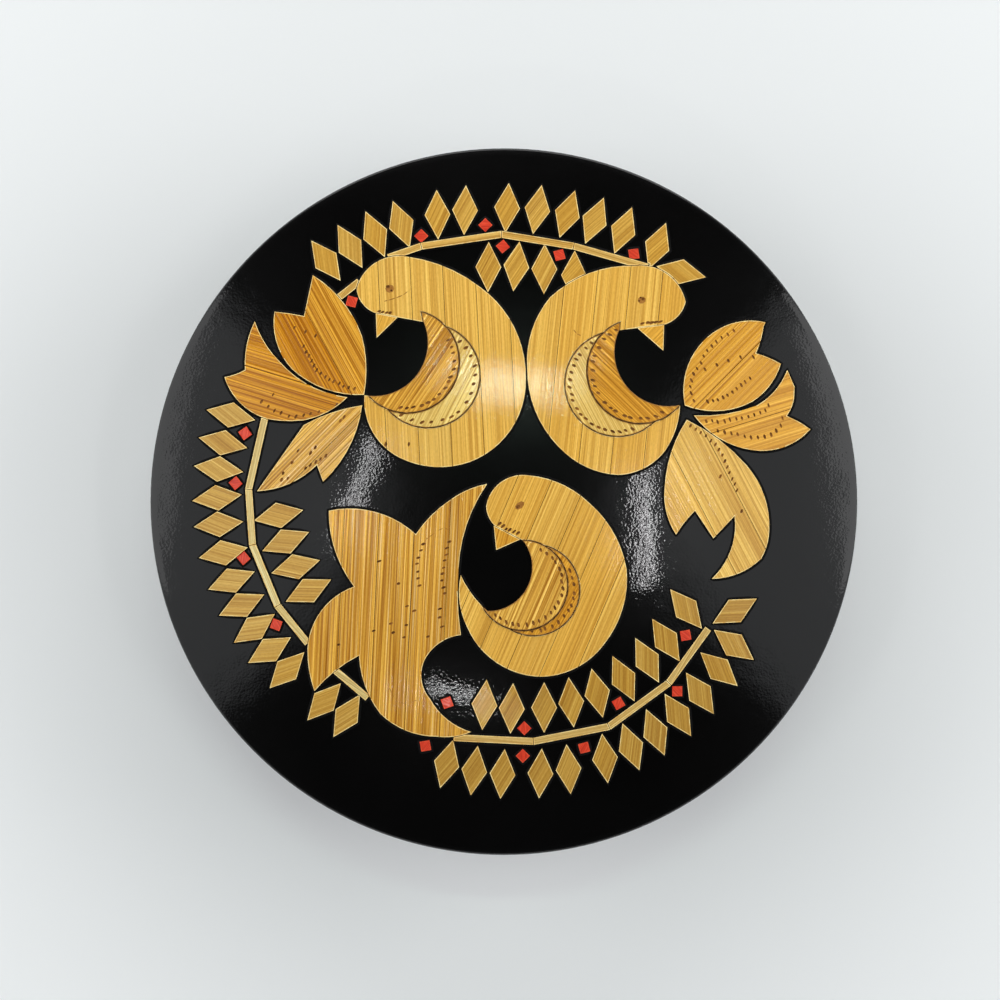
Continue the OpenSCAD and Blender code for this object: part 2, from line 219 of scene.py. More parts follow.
def turned(name, profile):
    """Draws a profile of (radius, height) points and spins it about the axis of the box."""
    deselect_all()
    bpy.ops.mesh.primitive_plane_add(size=MM)
    piece = bpy.context.object
    piece.name = name
    bpy.ops.object.mode_set(mode="EDIT")
    bpy.ops.mesh.merge(type="CENTER")
    bpy.ops.transform.translate(value=(profile[0][0], 0, profile[0][1]))
    for (r0, z0), (r1, z1) in zip(profile, profile[1:]):
        bpy.ops.mesh.extrude_region_move(TRANSFORM_OT_translate={"value": (r1 - r0, 0, z1 - z0)})
    bpy.ops.mesh.select_all(action="SELECT")
    bpy.ops.mesh.spin(steps=TURN_STEPS, angle=2 * math.pi, center=(0, 0, 0), axis=(0, 0, 1))
    bpy.ops.mesh.select_all(action="SELECT")
    bpy.ops.mesh.remove_doubles(threshold=2 * CLOSE)
    bpy.ops.mesh.normals_make_consistent(inside=False)
    leave_edit()
    bpy.ops.object.shade_smooth_by_angle(angle=TURNING_SMOOTH)
    return piece


def body_profile():
    side_low = FOOT_HEIGHT + BOTTOM_ROUND
    return [
        *rows((0, FOOT_HEIGHT), (FOOT_RADIUS - FOOT_WIDTH - EDGE_ROUND, FOOT_HEIGHT), 8),
        *arc(FOOT_RADIUS - FOOT_WIDTH - EDGE_ROUND, FOOT_HEIGHT - EDGE_ROUND, EDGE_ROUND, 90, 0, 4),
        (FOOT_RADIUS - FOOT_WIDTH, 0),
        *arc(FOOT_RADIUS - EDGE_ROUND, EDGE_ROUND, EDGE_ROUND, -90, 0, 4),
        (FOOT_RADIUS, FOOT_HEIGHT),
        *arc(BODY_RADIUS - BOTTOM_ROUND, side_low, BOTTOM_ROUND, -90, 0, 20),
        *rows((BODY_RADIUS, side_low + MM), (BODY_RADIUS, SEAM_HEIGHT - EDGE_ROUND), 8),
        *arc(BODY_RADIUS - EDGE_ROUND, SEAM_HEIGHT - EDGE_ROUND, EDGE_ROUND, 0, 90, 5),
        (LIP_RADIUS, SEAM_HEIGHT),
        *arc(LIP_RADIUS - EDGE_ROUND, LIP_TOP - EDGE_ROUND, EDGE_ROUND, 0, 90, 5),
        *arc(WELL_RADIUS + RIM_ROUND, LIP_TOP - RIM_ROUND, RIM_ROUND, 90, 180, 4),
        *rows((WELL_RADIUS, LIP_TOP - 2 * RIM_ROUND), (WELL_RADIUS, WELL_FLOOR + WELL_ROUND), 10),
        *arc(WELL_RADIUS - WELL_ROUND, WELL_FLOOR + WELL_ROUND, WELL_ROUND, 0, -90, 14),
        *rows((WELL_RADIUS - WELL_ROUND - MM, WELL_FLOOR), (0, WELL_FLOOR), 12),
        (0, WELL_FLOOR),
    ]


def lid_profile():
    rim_reach = LID_RADIUS - RIM_ROUND
    rim_tilt = math.degrees(math.asin(rim_reach / (DOME_RADIUS - RIM_ROUND)))
    rim_z = DOME_CENTRE + (DOME_RADIUS - RIM_ROUND) * math.cos(math.radians(rim_tilt))
    inner_radius = DOME_RADIUS - DOME_WOOD
    hollow_tilt = math.degrees(math.asin(HOLLOW_RADIUS / inner_radius))
    bore = LIP_RADIUS + LID_PLAY
    return [
        *arc(0, DOME_CENTRE, DOME_RADIUS, 90, 90 - rim_tilt, 60),
        *arc(rim_reach, rim_z, RIM_ROUND, 90 - rim_tilt, 0, 6)[1:],
        *rows((LID_RADIUS, rim_z - MM), (LID_RADIUS, SEAM_HEIGHT + EDGE_ROUND), 8),
        *arc(LID_RADIUS - EDGE_ROUND, SEAM_HEIGHT + EDGE_ROUND, EDGE_ROUND, 0, -90, 5),
        (bore + RIM_ROUND / 2, SEAM_HEIGHT),
        (bore, SEAM_HEIGHT + RIM_ROUND / 2),
        *rows((bore, SEAM_HEIGHT + MM), (bore, SEAT_TOP), 3),
        (bore, SEAT_TOP),
        (HOLLOW_RADIUS + RIM_ROUND / 2, SEAT_TOP),
        (HOLLOW_RADIUS, SEAT_TOP + RIM_ROUND / 2),
        *arc(0, DOME_CENTRE, inner_radius, 90 - hollow_tilt, 90, 40),
    ]


# Straw

def dome_height(place):
    return DOME_CENTRE + math.sqrt(DOME_RADIUS ** 2 - place.length_squared)


def heading(turn):
    """The level direction at an angle."""
    return Vector((math.cos(turn), math.sin(turn)))


def outlines(node, eye=None):
    """A copy of a node's solids with one face for each top and one for each bottom."""
    shape = bpy.data.objects.new("outlines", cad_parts[node].data.copy())
    bpy.context.scene.collection.objects.link(shape)
    shape.data.materials.clear()
    for _ in range(SCORCH + 1):
        shape.data.materials.append(None)
    edit(shape)
    bpy.ops.mesh.select_all(action="SELECT")
    bpy.ops.mesh.remove_doubles(threshold=CLOSE)
    if eye:
        close_eye(shape, eye)
    for tip in TIPS.get(node, ()):
        draw_out_tip(shape, *tip)
    for side in (1, -1):
        select("FACE", shape, lambda face: face.normal.z * side > LIES_FLAT)
        bpy.ops.mesh.dissolve_faces()
    leave_edit()
    return shape


def draw_out_tip(shape, grain, *corners):
    """In edit mode, draws the square end of a ribbon out to its tip on the dome."""
    along = heading(math.radians(grain)).to_3d()
    corners = [Vector(corner) * MM for corner in corners]
    middle = (corners[0] + corners[1]) / 2
    select("FACE", shape, lambda face: face.normal.dot(along) > SQUARE_END
           and (face.calc_center_median().xy - middle).length < TIP_REACH)
    bpy.ops.mesh.extrude_region_move()
    mesh = bmesh.from_edit_mesh(shape.data)
    for corner in mesh.verts:
        if corner.select:
            place = min(corners, key=lambda end: (end - corner.co.xy).length)
            corner.co.z += dome_height(place) - dome_height(corner.co.xy)
            corner.co.xy = place
    bmesh.update_edit_mesh(shape.data)
    bpy.ops.mesh.select_all(action="SELECT")
    bpy.ops.mesh.remove_doubles(threshold=CLOSE)
    bpy.ops.mesh.dissolve_degenerate(threshold=CLOSE)
    bpy.ops.mesh.normals_make_consistent(inside=False)


def knife_shape(node, seams_along=None, eye=None):
    """A tall closed shape with a node's outlines.

    Where a sheet is pieced from ribbons, seams_along is their direction, and their seams are closed up.
    """
    shape = outlines(node, eye)
    edit(shape)
    for side, reach in ((1, KNIFE_ABOVE), (-1, -KNIFE_BELOW)):
        select("FACE", shape, lambda face: face.normal.z * side > LIES_FLAT)
        bpy.ops.transform.translate(value=(0, 0, reach))
    if seams_along:
        across = Vector((-seams_along.y, seams_along.x, 0))
        for side in (across, -across):
            select("FACE", shape, lambda face: face.normal.dot(side) > SEAM_WALL)
            bpy.ops.transform.translate(value=side * SEAM_CLOSE)
    # The walls take the cut edge's colour: a painted pale highlight, and painted shade round the wings
    for face in bmesh.from_edit_mesh(shape.data).faces:
        face.material_index = SIDE
    leave_edit()
    return shape


def wear(piece, finish):
    """Gives a piece the materials of a finish in place of its own."""
    piece.data.materials.clear()
    for material in finish:
        piece.data.materials.append(material)


def cut_rim(node, finish, seams_along=None, eye=None):
    """The narrow rim that the knife's cut leaves round a node's outlines, but not along its seams."""
    # The rim's pale colour is a painted highlight along the straw's edges; round the wings its brown is
    # painted shade
    rim = outlines(node, eye)
    wear(rim, finish)
    edit(rim)
    select("FACE", rim, lambda face: face.normal.z < LIES_FLAT)
    bpy.ops.mesh.delete(type="FACE")
    bpy.ops.mesh.select_all(action="SELECT")
    bpy.ops.mesh.inset(thickness=RIM_WIDTH, use_even_offset=True)

    def is_waste(face):
        outer = [edge for edge in face.edges if edge.is_boundary]
        if not outer or len(face.verts) > 4:
            return True
        if seams_along is None:
            return False
        along = (outer[0].verts[1].co - outer[0].verts[0].co).normalized()
        return abs(along.x * seams_along.y - along.y * seams_along.x) < SEAM_EDGE

    select("FACE", rim, is_waste)
    bpy.ops.mesh.delete(type="FACE")
    for face in bmesh.from_edit_mesh(rim.data).faces:
        face.material_index = SIDE
    leave_edit()
    return rim


def close_eye(shape, eye):
    """In edit mode, closes the hole of a bird's eye."""
    select("FACE", shape, lambda face: abs(face.normal.z) < LIES_FLAT
           and (face.calc_center_median().xy - eye).length < MM)
    bpy.ops.mesh.delete(type="FACE")
    bpy.ops.mesh.select_mode(type="VERT")
    bpy.ops.mesh.select_non_manifold()
    bpy.ops.mesh.fill_holes(sides=0)


def rib_texture():
    """Rounded ribs with sharp furrows, once they are stretched along the grain."""
    texture = bpy.data.textures.new("ribs", "CLOUDS")
    texture.noise_type = "HARD_NOISE"
    texture.noise_scale = 1
    texture.noise_depth = 2
    return texture


def straw_blank(shape, along, height, rib, finish):
    """A sheet of straw over the place of a knife shape, ribbed along its grain and laid on the dome."""
    across = Vector((-along.y, along.x))
    corners = [vertex.co.xy for vertex in shape.data.vertices]
    low = Vector((min(c.dot(along) for c in corners), min(c.dot(across) for c in corners)))
    high = Vector((max(c.dot(along) for c in corners), max(c.dot(across) for c in corners)))
    size = high - low + Vector((BLANK_SPARE, BLANK_SPARE))
    middle = (low + high) / 2
    place = along * middle.x + across * middle.y
    turn = math.atan2(along.y, along.x)
    deselect_all()
    bpy.ops.mesh.primitive_grid_add(
        x_subdivisions=max(BLANK_LEAST_ALONG, round(size.x / BLANK_STEP)),
        y_subdivisions=max(BLANK_LEAST_ACROSS, round(size.y / rib["step"])),
        size=1,
        location=(place.x, place.y, TOP_HEIGHT + BLANK_ABOVE),
        rotation=(0, 0, turn),
    )
    blank = bpy.context.object
    stretch(blank, (size.x, size.y, 1))
    apply_modifier(blank, "SHRINKWRAP", target=turned_lid, wrap_method="PROJECT", use_project_z=True,
                   use_negative_direction=True, use_positive_direction=False, offset=height - UNDER_RIM)
    rib_guide.location = (place.x, place.y, random.uniform(-RIB_SHIFT, RIB_SHIFT))
    rib_guide.rotation_euler = (0, 0, turn)
    rib_guide.scale = (RIB_LENGTH, rib["width"], 1)
    bpy.context.view_layer.update()
    smooth = [vertex.co.z for vertex in blank.data.vertices]
    apply_modifier(blank, "DISPLACE", texture=ribs, texture_coords="OBJECT",
                   texture_coords_object=rib_guide, direction="Z", mid_level=1, strength=rib["depth"])
    # The depth of each corner under the unribbed sheet, from which the straw paints shade into the furrows
    # and light onto the crests
    relief = blank.data.uv_layers.new(name="relief")
    for loop in blank.data.loops:
        drop = smooth[loop.vertex_index] - blank.data.vertices[loop.vertex_index].co.z
        relief.data[loop.index].uv = (drop / rib["depth"], 0)
    apply_modifier(blank, "SOLIDIFY", thickness=height + SUNK, offset=-1)
    wear(blank, finish)
    return blank


def cut_out(blank, shape):
    """Cuts a piece out of its blank with a knife shape."""
    apply_modifier(blank, "BOOLEAN", operation="INTERSECT", object=shape, solver="EXACT",
                   material_mode="INDEX")
    remove(shape)
    merge_close(blank)
    return blank


def merge_close(piece):
    edit(piece)
    bpy.ops.mesh.select_all(action="SELECT")
    bpy.ops.mesh.remove_doubles(threshold=CLOSE)
    bpy.ops.mesh.dissolve_degenerate(threshold=CLOSE)
    leave_edit()


# A press is a blunt cone, one across where it meets the straw and one deep below that
PRESS_SIDES = 8
PRESS_TIP = 0.25
PRESS_TOP = 0.75


def burn_mark(place, length, width, turn, depth=BURN_DEPTH, colour=BURN):
    return {"place": place, "size": (length, width, depth), "turn": turn, "colour": colour}


def press_marks(piece, marks, height, finish):
    """Burns marks into the straw as small dark pits."""
    presses = []
    for mark in marks:
        place = mark["place"]
        upright = Vector((0, 0, 1))
        outward = Vector((place.x, place.y, dome_height(place) - DOME_CENTRE)).normalized()
        stance = upright.rotation_difference(outward) @ Quaternion(upright, mark["turn"])
        deselect_all()
        bpy.ops.mesh.primitive_cone_add(
            vertices=PRESS_SIDES, radius1=PRESS_TIP, radius2=PRESS_TOP, depth=2,
            location=(place.x, place.y, dome_height(place) + height), rotation=stance.to_euler())
        press = bpy.context.object
        stretch(press, mark["size"])
        wear(press, finish)
        for face in press.data.polygons:
            face.material_index = mark["colour"]
        presses.append(press)
    press = joined(presses)
    apply_modifier(piece, "BOOLEAN", operation="DIFFERENCE", object=press, solver="EXACT",
                   material_mode="INDEX", use_self=True)
    remove(press)
    merge_close(piece)


def loose_parts(mesh):
    """The number of the separate part that each vertex belongs to."""
    part = list(range(len(mesh.vertices)))

    def root(i):
        while part[i] != i:
            part[i] = part[part[i]]
            i = part[i]
        return i

    for edge in mesh.edges:
        a, b = (root(i) for i in edge.vertices)
        part[max(a, b)] = min(a, b)
    return [root(i) for i in range(len(part))]


def grain_map(piece, along, shade):
    """Writes the grain's own map, in millimetres along and across the straw, and a tone for each part.

    The shade is one for all parts, or one for each part in their order across the grain.
    """
    mesh = piece.data
    across = Vector((-along.y, along.x))
    parts = loose_parts(mesh)
    places = {}
    for vertex, part in zip(mesh.vertices, parts):
        places.setdefault(part, []).append(vertex.co.xy.dot(across))
    order = sorted(places, key=lambda part: sum(places[part]) / len(places[part]))
    shades = shade if isinstance(shade, tuple) else [shade] * len(order)
    tones = {part: (part_shade + random.uniform(-TONE_STRAY, TONE_STRAY),
                    random.uniform(-GRAIN_SHIFT, GRAIN_SHIFT))
             for part, part_shade in zip(order, shades)}
    tone = mesh.attributes.new("tone", "FLOAT", "POINT")
    tone.data.foreach_set("value", [tones[part][0] for part in parts])
    layer = mesh.uv_layers.new(name="grain")
    for loop in mesh.loops:
        place = mesh.vertices[loop.vertex_index].co.xy / MM
        shift = tones[parts[loop.vertex_index]][1]
        layer.data[loop.index].uv = (place.dot(along) + shift, place.dot(across) + shift)


def straw_sheet(node, grain, height, rib, finish, shade, ribbons=False, marks=(), eye=None):
    """A piece of one direction of straw that stands for a node."""
    along = heading(math.radians(grain))
    seams_along = along if ribbons else None
    shape = knife_shape(node, seams_along, eye)
    piece = cut_out(straw_blank(shape, along, height, rib, finish), shape)
    if marks:
        press_marks(piece, marks, height, finish)
    grain_map(piece, along, shade)
    return finish_straw([piece, cut_rim(node, finish, seams_along, eye)], node)


def straw_pieces(node, height, rib, finish, shade, lean=0):
    """Small pieces of straw that stand for a node, each with the grain along its own length or a side."""
    whole = knife_shape(node)
    edit(whole)
    bpy.ops.mesh.select_all(action="SELECT")
    bpy.ops.mesh.separate(type="LOOSE")
    leave_edit()
    shapes = list(bpy.context.selected_objects)
    shapes.sort(key=lambda shape: tuple(shape.data.vertices[0].co))
    pieces = []
    for shape in shapes:
        grain = long_axis(shape) + lean
        along = heading(grain)
        piece = cut_out(straw_blank(shape, along, height, rib, finish), shape)
        grain_map(piece, along, shade)
        pieces.append(piece)
    return finish_straw(pieces + [cut_rim(node, finish)], node)


def long_axis(shape):
    """Direction between the two corners of a small piece that lie furthest apart."""
    corners = [vertex.co.xy for vertex in shape.data.vertices]
    reaches = [second - first for first in corners for second in corners]
    longest = max(reaches, key=lambda reach: reach.length)
    return math.atan2(longest.y, longest.x)


def finish_straw(pieces, node):
    """Joins the pieces that stand for a node, sharpens the edges of their cuts and sets them on the lid."""
    piece = joined(pieces)
    edit(piece)
    select("EDGE", piece, lambda edge: len({face.material_index for face in edge.link_faces}) > 1)
    bpy.ops.mesh.mark_sharp()
    leave_edit()
    bpy.ops.object.shade_smooth_by_angle(angle=STRAW_SMOOTH)
    piece.name = "straw_" + node
    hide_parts(node)
    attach(piece, "lid")
    return piece


# Materials

def new_material(name):
    material = bpy.data.materials.new(name)
    material.use_nodes = True
    return material, material.node_tree.nodes, material.node_tree.links


def noise(nodes, links, coords, density, scale, detail, roughness):
    """Noise with its own density along each direction of a coordinate output."""
    mapping = nodes.new("ShaderNodeMapping")
    mapping.inputs["Scale"].default_value = density
    links.new(coords, mapping.inputs["Vector"])
    texture = nodes.new("ShaderNodeTexNoise")
    texture.inputs["Scale"].default_value = scale
    texture.inputs["Detail"].default_value = detail
    texture.inputs["Roughness"].default_value = roughness
    links.new(mapping.outputs["Vector"], texture.inputs["Vector"])
    return texture.outputs["Fac"]


def ramp(nodes, links, factor, stops):
    node = nodes.new("ShaderNodeValToRGB")
    elements = node.color_ramp.elements
    for element, (place, colour) in zip(elements, (stops[0], stops[-1])):
        element.position = place
        element.color = (*colour, 1)
    for place, colour in stops[1:-1]:
        elements.new(place).color = (*colour, 1)
    links.new(factor, node.inputs["Fac"])
    return node.outputs["Color"]


def mix(nodes, links, kind, factor, first, second):
    node = nodes.new("ShaderNodeMix")
    node.data_type = "RGBA"
    node.blend_type = kind
    for socket, value in zip((node.inputs[0], node.inputs[6], node.inputs[7]), (factor, first, second)):
        if isinstance(value, bpy.types.NodeSocket):
            links.new(value, socket)
        elif isinstance(value, tuple):
            socket.default_value = (*value, 1)
        else:
            socket.default_value = value
    return node.outputs[2]


def span(nodes, links, value, low, high):
    """Maps 0 to 1 to a range."""
    node = nodes.new("ShaderNodeMapRange")
    node.inputs["To Min"].default_value = low
    node.inputs["To Max"].default_value = high
    links.new(value, node.inputs["Value"])
    return node.outputs["Result"]


def bump(nodes, links, height, distance, normal=None):
    node = nodes.new("ShaderNodeBump")
    node.inputs["Strength"].default_value = 1
    node.inputs["Distance"].default_value = distance
    links.new(height, node.inputs["Height"])
    if normal:
        links.new(normal, node.inputs["Normal"])
    return node.outputs["Normal"]


def straw(name, streak, ridge, tint=WHITE, pale_thread_and_glint=(1.25, 1.4, 1.7)):
    """Split straw: fine streaks along the grain, each part in its own tone, under a film of lacquer.

    The streak is how strongly the streaks show, and the ridge how high they stand. The noises have their
    densities per millimetre along the grain and across it.
    """
    material, nodes, links = new_material(name)
    shader = nodes["Principled BSDF"]
    uv = nodes.new("ShaderNodeUVMap")
    uv.uv_map = "grain"
    coords = uv.outputs["UV"]
    fine = noise(nodes, links, coords, (0.015, 2.6, 1), 1.0, 3, 0.6)
    broad = noise(nodes, links, coords, (0.012, 0.55, 1), 1.0, 2, 0.5)
    threads = noise(nodes, links, coords, (0.025, 4, 1), 1.0, 1, 0.5)
    glints = noise(nodes, links, coords, (2.2, 3.8, 1), 1.0, 1, 0.5)
    mottle = noise(nodes, links, coords, (1.4, 3, 1), 1.0, 3, 0.6)
    tone = nodes.new("ShaderNodeAttribute")
    tone.attribute_name = "tone"
    colour = ramp(nodes, links, tone.outputs["Fac"], STRAW_TONES)
    streaks = ramp(nodes, links, fine,
                   [(0.34, (0.6, 0.45, 0.26)), (0.5, WHITE), (0.62, (1.3, 1.5, 2.1))])
    colour = mix(nodes, links, "MULTIPLY", streak, colour, streaks)
    bands = ramp(nodes, links, broad,
                 [(0.3, (0.72, 0.62, 0.48)), (0.52, WHITE), (0.7, (1.1, 1.14, 1.25))])
    colour = mix(nodes, links, "MULTIPLY", 0.5 * streak, colour, bands)
    relief = nodes.new("ShaderNodeUVMap")
    relief.uv_map = "relief"
    depth = nodes.new("ShaderNodeSeparateXYZ")
    links.new(relief.outputs["UV"], depth.inputs["Vector"])
    # Painted shade darkens the furrows between the ribs, and painted light pales their crests
    furrows = ramp(nodes, links, depth.outputs["X"],
                   [(0.2, (1.25, 1.35, 1.8)), (0.6, WHITE), (0.95, (0.5, 0.36, 0.2))])
    colour = mix(nodes, links, "MULTIPLY", streak, colour, furrows)
    # Thin dark and pale threads: the pale ones are partly the straw's own fibres and, brightest on ridged
    # straw, painted glints
    lines = ramp(nodes, links, threads,
                 [(0.3, (0.5, 0.36, 0.22)), (0.38, WHITE), (0.58, WHITE), (0.66, pale_thread_and_glint)])
    colour = mix(nodes, links, "MULTIPLY", streak, colour, lines)
    spots = ramp(nodes, links, mottle, [(0.3, (0.84, 0.8, 0.72)), (0.6, WHITE)])
    colour = mix(nodes, links, "MULTIPLY", 0.7, colour, spots)
    colour = mix(nodes, links, "MULTIPLY", 1.0, colour, tint)
    links.new(colour, shader.inputs["Base Color"])
    links.new(span(nodes, links, fine, 0.55, 0.35), shader.inputs["Roughness"])
    links.new(bump(nodes, links, fine, ridge), shader.inputs["Normal"])
    film = bump(nodes, links, fine, 0.2 * ridge)
    links.new(bump(nodes, links, glints, 0.018 * MM, normal=film), shader.inputs["Coat Normal"])
    shader.inputs["Specular IOR Level"].default_value = 0.06
    shader.inputs["Coat Weight"].default_value = 0.8
    shader.inputs["Coat Roughness"].default_value = 0.04
    shader.inputs["Anisotropic"].default_value = 0.5
    tangent = nodes.new("ShaderNodeTangent")
    tangent.direction_type = "UV_MAP"
    tangent.uv_map = "grain"
    links.new(tangent.outputs["Tangent"], shader.inputs["Tangent"])
    return material


def cut_edge(name, pale, deep):
    """Knife-cut edges: pale ones are a painted highlight, dark brown ones painted shade round the wings."""
    material, nodes, links = new_material(name)
    shader = nodes["Principled BSDF"]
    coords = nodes.new("ShaderNodeTexCoord").outputs["Object"]
    edge_noise = noise(nodes, links, coords, (1, 1, 1), 700, 3, 0.6)
    links.new(ramp(nodes, links, edge_noise, [(0.35, deep), (0.6, pale)]), shader.inputs["Base Color"])
    links.new(span(nodes, links, edge_noise, 0.45, 0.3), shader.inputs["Roughness"])
    shader.inputs["Specular IOR Level"].default_value = 0.15
    return material


def burnt_straw(name, dark, light):
    """Straw browned by a hot needle."""
    material, nodes, links = new_material(name)
    shader = nodes["Principled BSDF"]
    coords = nodes.new("ShaderNodeTexCoord").outputs["Object"]
    char = noise(nodes, links, coords, (1, 1, 1), 600, 3, 0.6)
    links.new(ramp(nodes, links, char, [(0.32, dark), (0.7, light)]), shader.inputs["Base Color"])
    links.new(span(nodes, links, char, 0.55, 0.75), shader.inputs["Roughness"])
    shader.inputs["Specular IOR Level"].default_value = 0.1
    return material


def dyed_straw():
    """Red straw with a glossy film of lacquer."""
    material, nodes, links = new_material("red_dyed_straw")
    shader = nodes["Principled BSDF"]
    uv = nodes.new("ShaderNodeUVMap")
    uv.uv_map = "grain"
    fine = noise(nodes, links, uv.outputs["UV"], (0.2, 3, 1), 1.0, 4, 0.6)
    colours = [(0.3, (0.42, 0.018, 0.006)), (0.52, (0.66, 0.045, 0.016)), (0.72, (0.84, 0.1, 0.045))]
    links.new(ramp(nodes, links, fine, colours), shader.inputs["Base Color"])
    links.new(span(nodes, links, fine, 0.4, 0.28), shader.inputs["Roughness"])
    links.new(bump(nodes, links, fine, 0.02 * MM), shader.inputs["Normal"])
    shader.inputs["Specular IOR Level"].default_value = 0.3
    shader.inputs["Coat Weight"].default_value = 0.6
    shader.inputs["Coat Roughness"].default_value = 0.1
    return material


def lacquer(name, colour, haze, gloss):
    """Black lacquer brushed over turned wood: a soft haze under a glossy skin with a fine orange peel.

    The noises have their scales per metre.
    """
    material, nodes, links = new_material(name)
    shader = nodes["Principled BSDF"]
    coords = nodes.new("ShaderNodeTexCoord").outputs["Object"]
    peel = noise(nodes, links, coords, (1, 1, 1), 2000, 1, 0.5)
    waves = noise(nodes, links, coords, (1, 1, 1), 60, 3, 0.5)
    cloud = noise(nodes, links, coords, (1, 1, 1), 25, 4, 0.6)
    tint = ramp(nodes, links, cloud, [(0.3, colour), (0.75, tuple(2.2 * c for c in colour))])
    links.new(tint, shader.inputs["Base Color"])
    links.new(span(nodes, links, cloud, haze - 0.04, haze + 0.06), shader.inputs["Roughness"])
    slow = bump(nodes, links, waves, 0.13 * MM)
    links.new(slow, shader.inputs["Normal"])
    links.new(bump(nodes, links, peel, 0.0125 * MM, normal=slow), shader.inputs["Coat Normal"])
    shader.inputs["Specular IOR Level"].default_value = 0.1
    shader.inputs["Coat Weight"].default_value = gloss
    shader.inputs["Coat Roughness"].default_value = 0.035
    return material


# The box and its lid

black = lacquer("black_lacquer", (0.0005, 0.00045, 0.00045), 0.25, 0.7)
inside_black = lacquer("inside_lacquer", (0.006, 0.0056, 0.0052), 0.4, 0.1)
dull_black = lacquer("dull_lacquer", (0.001, 0.0009, 0.0009), 0.7, 0)


def lacquer_turned(piece, node, body, is_inside):
    piece.data.materials.append(black)
    piece.data.materials.append(inside_black)
    for face in piece.data.polygons:
        face.material_index = 1 if is_inside(face.center) else 0
    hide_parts(node)
    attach(piece, body)
    return piece


def radius_of(place):
    return math.hypot(place.x, place.y)


lacquer_turned(
    turned("turned_body", body_profile()), "box_body", "box",
    lambda place: radius_of(place) < WELL_RADIUS + RIM_ROUND / 2 and place.z > FOOT_HEIGHT + MM)
turned_lid = lacquer_turned(
    turned("turned_lid", lid_profile()), "lid", "lid",
    lambda place: radius_of(place) < LIP_RADIUS + 2 * LID_PLAY and place.z < dome_height(place.xy) - MM)

# Straw finishes: the face, the cut edge and the burnt marks

burnt = burnt_straw("burnt_straw", (0.11, 0.038, 0.008), (0.34, 0.14, 0.028))
scorched = burnt_straw("scorched_straw", (0.24, 0.09, 0.015), (0.5, 0.23, 0.045))
# The pale cut edge is a painted highlight along the straw's edges
pale_edge_highlight = cut_edge("straw_edge_painted_highlight", (1.0, 0.78, 0.34), (0.78, 0.46, 0.12))
# The dark brown cut edge round the wings is painted shade along their raised border
wing_edge_shade = cut_edge("scorched_cut_edge", (0.5, 0.25, 0.06), (0.3, 0.13, 0.03))
red_edge = cut_edge("red_cut_edge", (0.85, 0.1, 0.04), (0.6, 0.03, 0.012))
gold = straw("gold_straw", 0.45, 0.02 * MM)
amber = straw("amber_straw", 0.9, 0.05 * MM)
# On ridged straw the bright cream threads are painted glints along the ribs
ridged = straw("ridged_straw_painted_glints", 0.9, 0.05 * MM, pale_thread_and_glint=(1.12, 1.42, 3.8))
fan = straw("fan_straw", 0.5, 0.03 * MM)
pale = straw("pale_straw", 0.6, 0.03 * MM)
leaf = straw("leaf_straw", 0.45, 0.02 * MM, (0.79, 0.83, 0.98))
# The bottom garland's leaves are a darker copy of the leaf straw: painted shade where less light falls at
# the bottom
low_leaf = straw("low_leaf_straw_painted_shade", 0.45, 0.02 * MM, (0.68, 0.72, 0.88))
stem = straw("stem_straw", 0.5, 0.03 * MM, (0.84, 0.88, 1.15))
GOLD, AMBER, RIDGED_PAINTED_GLINTS, FAN, LEAF, SHADED_LOW_LEAF, STEM = (
    [face, pale_edge_highlight, burnt, scorched] for face in (gold, amber, ridged, fan, leaf, low_leaf, stem))
UPPER_WING = [amber, wing_edge_shade, burnt, scorched]
LOWER_WING = [pale, wing_edge_shade, burnt, scorched]
RED = [dyed_straw(), red_edge, burnt, scorched]

# Ribs of the straw: how wide, how deep and how finely they are modelled
ribs = rib_texture()
FINE_RIB = {"width": 0.6 * MM, "depth": 0.02 * MM, "step": 0.22 * MM}
COARSE_RIB = {"width": 0.7 * MM, "depth": 0.08 * MM, "step": 0.17 * MM}
rib_guide = bpy.data.objects.new("rib_guide", None)
bpy.context.scene.collection.objects.link(rib_guide)


# Burnt marks, in millimetres: how long, how wide, how far inside a wing's edge and how far they stray,
# which along the edge is a share of the step between them
WING_MARK_LENGTH = (1.05, 1.45)
WING_MARK_WIDTH = (0.58, 0.78)
WING_MARK_INSET = 1.05
WING_MARK_STRAY = (-0.15, 0.15)
WING_STEP_STRAY = (-0.2, 0.2)
LONE_MARK_LENGTH = (0.95, 1.3)
LONE_MARK_WIDTH = (0.48, 0.68)
LONE_MARK_STRAY = (-0.12, 0.12)
SCRATCH_WIDTH = 0.24

# Shares: a scratch's stretch to the line that it covers, and the width of a dot in an eye to its length
SCRATCH_OVERLAP = 1.1
EYE_DOT_WIDTH = 0.8


def wing_marks(x, y, radius, start, end, count, lean):
    """Marks along the edge of a round wing, in millimetres and degrees."""
    marks = []
    for i in range(count):
        step = i + random.uniform(*WING_STEP_STRAY)
        turn = math.radians(start + (end - start) * step / (count - 1))
        reach = radius - WING_MARK_INSET + random.uniform(*WING_MARK_STRAY)
        place = (Vector((x, y)) + reach * heading(turn)) * MM
        length = random.uniform(*WING_MARK_LENGTH) * MM
        width = random.uniform(*WING_MARK_WIDTH) * MM
        marks.append(burn_mark(place, length, width, math.radians(lean)))
    return marks


def lone_mark(place, lean):
    """A mark that strays a little from its place."""
    stray = Vector((random.uniform(*LONE_MARK_STRAY), random.uniform(*LONE_MARK_STRAY))) * MM
    length = random.uniform(*LONE_MARK_LENGTH) * MM
    width = random.uniform(*LONE_MARK_WIDTH) * MM
    return burn_mark(place + stray, length, width, math.radians(lean))


